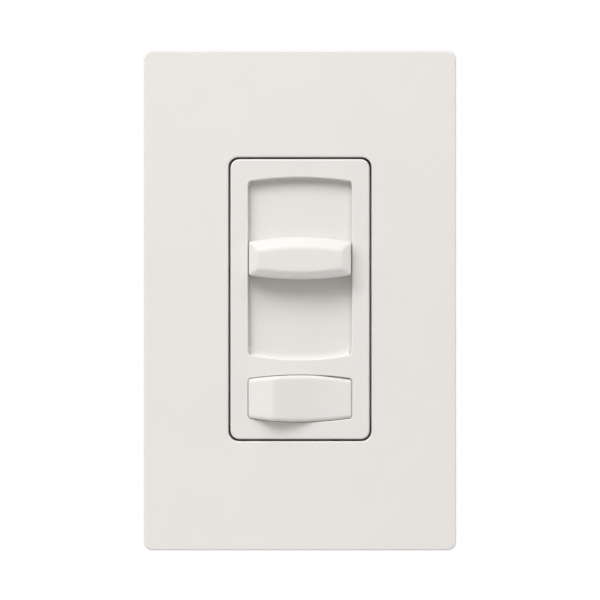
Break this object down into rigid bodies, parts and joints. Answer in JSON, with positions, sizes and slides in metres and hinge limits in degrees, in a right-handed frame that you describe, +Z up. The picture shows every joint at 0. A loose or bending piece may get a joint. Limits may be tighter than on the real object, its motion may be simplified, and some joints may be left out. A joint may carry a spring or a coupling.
{
  "type": "dimmer slide switch",
  "caption": "Flush wall dimmer with a recessed vertical slide knob and an on/off rocker in one bezel, under a screwless plate, with its mounting strap and rear housing.",
  "frame": {"origin": "on the wall surface, at the middle of the wall plate", "axes": "+X to the right as seen from the room, +Y into the wall, +Z up"},
  "size_m": [0.0744, 0.0432, 0.119],
  "materials": {
    "plate_plastic": "satin white moulding",
    "device_plastic": "satin white moulding",
    "adapter_plastic": "matt white moulding",
    "inner_plastic": "matt pale grey moulding",
    "housing_plastic": "fine-textured black moulding",
    "yoke_aluminium": "rolled sheet",
    "steel": "zinc plated",
    "brass": "plain",
    "copper": "plain copper alloy",
    "silver_contact": "silver",
    "green_screw": "green dyed screw",
    "blackened_screw": "black oxide",
    "phenolic": "brown laminate",
    "board_laminate": "green solder mask",
    "moulded_black": "matt epoxy",
    "blue_lacquer": "dipped lacquer",
    "tan_lacquer": "lacquer",
    "red_lacquer": "dipped lacquer",
    "film_capacitor_case": "yellow case",
    "ferrite": "sintered",
    "fibre": "vulcanised fibre"
  },
  "bodies": {
    "frame": {"wall_plate": "plate_plastic", "plate_adapter": "adapter_plastic", "yoke": "yoke_aluminium", "bezel": "device_plastic", "slider_floor": "device_plastic", "pot_can": "steel", "pot_board": "phenolic", "contact_saddle": "brass", "fixed_contact_left": "copper", "fixed_contact_right": "copper", "circuit_board": "board_laminate", "triac": "moulded_black", "triac_rivet": "steel", "diac": "blue_lacquer", "resistor_timing": "tan_lacquer", "resistor_snubber": "tan_lacquer", "film_capacitor": "film_capacitor_case", "timing_capacitor": "red_lacquer", "varistor": "blue_lacquer", "choke_core": "ferrite", "choke_winding": "copper", "rear_housing": "housing_plastic", "box_screw_top": "steel", "box_screw_bottom": "steel", "plate_screw_top": "steel", "plate_screw_bottom": "steel", "screw_retainer_top": "fibre", "screw_retainer_bottom": "fibre", "housing_screw_top_left": "steel", "housing_screw_top_right": "steel", "housing_screw_bottom_left": "steel", "housing_screw_bottom_right": "steel", "terminal_line": "brass", "terminal_load": "brass", "terminal_traveler": "brass", "clamp_line": "steel", "clamp_load": "steel", "clamp_traveler": "steel", "terminal_screw_line": "brass", "terminal_screw_load": "brass", "terminal_screw_traveler": "blackened_screw", "ground_screw": "green_screw"},
    "slider": {"slider_knob": "device_plastic", "slider_carriage": "inner_plastic", "pot_lever": "inner_plastic", "pot_wiper": "brass"},
    "rocker": {"rocker": "device_plastic", "plunger_spring": "steel"},
    "plunger": {"plunger": "brass"},
    "seesaw": {"seesaw": "copper", "seesaw_pin": "steel", "moving_contact_left": "silver_contact", "moving_contact_right": "silver_contact"}
  },
  "joints": [
    {"name": "slider_slide", "type": "slide", "parent": "frame", "child": "slider", "axis": [0, 0, 1], "range_m": [-0.0168, 0.0125]},
    {"name": "rocker_tilt", "type": "hinge", "parent": "frame", "child": "rocker", "pos_m": [0, -0.0049, -0.02335], "axis": [0, 0, 1], "range_deg": [-11, 0]},
    {"name": "plunger_slide", "type": "slide", "parent": "rocker", "child": "plunger", "axis": [0.0958, -0.9954, 0], "range_m": [0, 0.0006], "stiffness_N_per_m": 150, "springref_m": -0.001, "deforming": ["plunger_spring"]},
    {"name": "seesaw_tilt", "type": "hinge", "parent": "frame", "child": "seesaw", "pos_m": [0, 0.0061, -0.02335], "axis": [0, 0, 1], "range_deg": [0, 11]}
  ],
  "couplings": [
    {"joint": "seesaw_tilt", "follows": "rocker_tilt", "ratio": -1}
  ]
}
